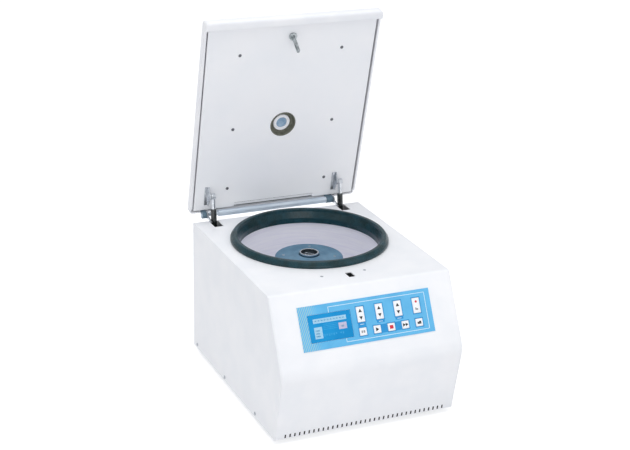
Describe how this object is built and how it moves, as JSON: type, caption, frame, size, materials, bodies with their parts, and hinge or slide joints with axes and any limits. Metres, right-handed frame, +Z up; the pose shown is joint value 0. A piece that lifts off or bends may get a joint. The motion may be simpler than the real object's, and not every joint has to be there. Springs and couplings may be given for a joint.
{
  "type": "laboratory centrifuge",
  "caption": "Bench-top laboratory centrifuge with a hinged lid on gas struts, a round spinning chamber with a drive hub, a lid lock and a sloped keypad with a display.",
  "frame": {"origin": "on the surface the machine stands on, under the middle of its outline with the lid open", "axes": "+Z up, -Y towards the keypad and the user, +X to the user's right"},
  "size_m": [0.3734, 0.5086, 0.7155],
  "materials": {
    "casing_white": "smooth white powder coat, semi-gloss",
    "zinc_steel": "bright zinc-plated sheet steel",
    "screw_steel": "zinc-plated screw, satin",
    "foot_rubber": "matt black rubber",
    "bowl_steel": "spun stainless steel, satin",
    "gasket_rubber": "moulded rubber, slight sheen",
    "guard_steel": "primed steel ring, matt",
    "boot_rubber": "moulded blue-grey rubber, slight sheen",
    "motor_casting": "bead-blasted casting",
    "damper_rubber": "matt black rubber",
    "shaft_steel": "turned steel",
    "hub_steel": "turned and polished steel",
    "overlay_film": "printed polyester film, light blue",
    "display_pane": "clear pane over a blue display",
    "key_white": "white moulded key",
    "board_green": "green circuit board",
    "lid_white": "smooth white moulding, semi-gloss",
    "lid_inner_white": "light grey-white powder coat, satin",
    "port_black": "dark olive-grey moulding, satin",
    "port_lens": "clear blue-grey pane",
    "striker_steel": "plated steel",
    "bracket_steel": "bright plated steel",
    "knuckle_steel": "blue-grey paint, satin",
    "lock_plastic": "dark moulding",
    "entry_plastic": "black moulding",
    "rocker_red": "red moulded rocker",
    "fan_plastic": "black moulding",
    "hinge_bar_steel": "plated steel bar",
    "strut_black": "black enamel, gloss",
    "strut_chrome": "polished hard chrome"
  },
  "bodies": {
    "cabinet": {"keypad_overlay": "overlay_film", "display_window": "display_pane", "control_board": "board_green", "front_cover": "casing_white", "side_panel_left": "casing_white", "side_panel_right": "casing_white", "side_screw_left_1": "screw_steel", "side_screw_left_2": "screw_steel", "side_screw_left_3": "screw_steel", "side_screw_right_1": "screw_steel", "side_screw_right_2": "screw_steel", "side_screw_right_3": "screw_steel", "base_pan": "zinc_steel", "rear_panel": "casing_white", "foot_front_left": "foot_rubber", "foot_front_right": "foot_rubber", "foot_rear_left": "foot_rubber", "foot_rear_right": "foot_rubber", "chamber_bowl": "bowl_steel", "chamber_gasket": "gasket_rubber", "guard_ring": "guard_steel", "drive_boot": "boot_rubber", "motor_housing": "motor_casting", "motor_damper": "damper_rubber", "drive_board": "board_green", "fan_frame": "fan_plastic", "power_entry": "entry_plastic", "hinge_arm_left": "bracket_steel", "hinge_arm_right": "bracket_steel", "hinge_bar": "hinge_bar_steel", "lock_housing": "lock_plastic", "strut_anchor_left": "zinc_steel", "strut_anchor_right": "zinc_steel"},
    "lid": {"lid_shell": "lid_white", "lid_panel": "lid_inner_white", "view_port_tube": "port_black", "view_port_lens": "port_lens", "latch_striker": "striker_steel", "lid_bracket_left": "bracket_steel", "lid_bracket_right": "bracket_steel", "hinge_knuckle_left": "knuckle_steel", "hinge_knuckle_right": "knuckle_steel"},
    "rotor_drive": {"drive_shaft": "shaft_steel", "drive_hub": "hub_steel"},
    "bolt": {"lock_bolt": "striker_steel"},
    "speed_key_body": {"speed_key": "key_white"},
    "time_key_body": {"time_key": "key_white"},
    "temperature_key_body": {"temperature_key": "key_white"},
    "lamp_key_body": {"lamp_key": "key_white"},
    "light_key_body": {"light_key": "key_white"},
    "start_key_body": {"start_key": "key_white"},
    "stop_key_body": {"stop_key": "key_white"},
    "short_run_key_body": {"short_run_key": "key_white"},
    "lid_key_body": {"lid_key": "key_white"},
    "power_rocker_body": {"power_rocker": "rocker_red"},
    "fan_rotor_body": {"fan_rotor": "fan_plastic"},
    "tube_left": {"strut_tube_left": "strut_black"},
    "rod_left": {"strut_rod_left": "strut_chrome"},
    "tube_right": {"strut_tube_right": "strut_black"},
    "rod_right": {"strut_rod_right": "strut_chrome"}
  },
  "joints": [
    {"name": "lid_hinge", "type": "hinge", "parent": "cabinet", "child": "lid", "pos_m": [0, 0.2342, 0.2901], "axis": [1, 0, 0], "range_deg": [0, 76.36], "stiffness_Nm_per_rad": 3.75, "springref_deg": -38.22},
    {"name": "strut_pivot_left", "type": "hinge", "parent": "lid", "child": "tube_left", "pos_m": [-0.1415, 0.2201, 0.33278], "axis": [1, 0, 0], "range_deg": [-69.21, 0]},
    {"name": "strut_slide_left", "type": "slide", "parent": "tube_left", "child": "rod_left", "axis": [0, 0.1024, 0.9947], "range_m": [0, 0.04776]},
    {"name": "strut_pivot_right", "type": "hinge", "parent": "lid", "child": "tube_right", "pos_m": [0.1415, 0.2201, 0.33278], "axis": [1, 0, 0], "range_deg": [-69.21, 0]},
    {"name": "strut_slide_right", "type": "slide", "parent": "tube_right", "child": "rod_right", "axis": [0, 0.1024, 0.9947], "range_m": [0, 0.04776]},
    {"name": "rotor_spin", "type": "hinge", "parent": "cabinet", "child": "rotor_drive", "pos_m": [0, 0.0509, 0.247], "axis": [0, 0, 1], "continuous": true},
    {"name": "bolt_slide", "type": "slide", "parent": "cabinet", "child": "bolt", "axis": [-1, 0, 0], "range_m": [0, 0.011], "stiffness_N_per_m": 60},
    {"name": "speed_key_rock", "type": "hinge", "parent": "cabinet", "child": "speed_key_body", "pos_m": [-0.0116, -0.21341, 0.23131], "axis": [1, 0, 0], "range_deg": [-2, 2], "stiffness_Nm_per_rad": 0.3},
    {"name": "time_key_rock", "type": "hinge", "parent": "cabinet", "child": "time_key_body", "pos_m": [0.0267, -0.21341, 0.23131], "axis": [1, 0, 0], "range_deg": [-2, 2], "stiffness_Nm_per_rad": 0.3},
    {"name": "temperature_key_rock", "type": "hinge", "parent": "cabinet", "child": "temperature_key_body", "pos_m": [0.065, -0.21341, 0.23131], "axis": [1, 0, 0], "range_deg": [-2, 2], "stiffness_Nm_per_rad": 0.3},
    {"name": "lamp_key_press", "type": "slide", "parent": "cabinet", "child": "lamp_key_body", "axis": [0, 0.8846, -0.4663], "range_m": [0, 0.0005], "stiffness_N_per_m": 1500},
    {"name": "light_key_press", "type": "slide", "parent": "cabinet", "child": "light_key_body", "axis": [0, 0.8846, -0.4663], "range_m": [0, 0.0005], "stiffness_N_per_m": 1500},
    {"name": "start_key_press", "type": "slide", "parent": "cabinet", "child": "start_key_body", "axis": [0, 0.8846, -0.4663], "range_m": [0, 0.0005], "stiffness_N_per_m": 1500},
    {"name": "stop_key_press", "type": "slide", "parent": "cabinet", "child": "stop_key_body", "axis": [0, 0.8846, -0.4663], "range_m": [0, 0.0005], "stiffness_N_per_m": 1500},
    {"name": "short_run_key_press", "type": "slide", "parent": "cabinet", "child": "short_run_key_body", "axis": [0, 0.8846, -0.4663], "range_m": [0, 0.0005], "stiffness_N_per_m": 1500},
    {"name": "lid_key_press", "type": "slide", "parent": "cabinet", "child": "lid_key_body", "axis": [0, 0.8846, -0.4663], "range_m": [0, 0.0005], "stiffness_N_per_m": 1500},
    {"name": "power_rocker_tilt", "type": "hinge", "parent": "cabinet", "child": "power_rocker_body", "pos_m": [-0.082, 0.2203, 0.066], "axis": [1, 0, 0], "range_deg": [-16, 0]},
    {"name": "fan_spin", "type": "hinge", "parent": "cabinet", "child": "fan_rotor_body", "pos_m": [0.095, 0.2026, 0.056], "axis": [0, 1, 0], "continuous": true}
  ],
  "couplings": [
    {"joint": "strut_pivot_left", "follows": "lid_hinge", "ratio": -0.90369},
    {"joint": "strut_slide_left", "follows": "lid_hinge", "m_per_rad": 0.035686},
    {"joint": "strut_pivot_right", "follows": "lid_hinge", "ratio": -0.90369},
    {"joint": "strut_slide_right", "follows": "lid_hinge", "m_per_rad": 0.035686}
  ]
}
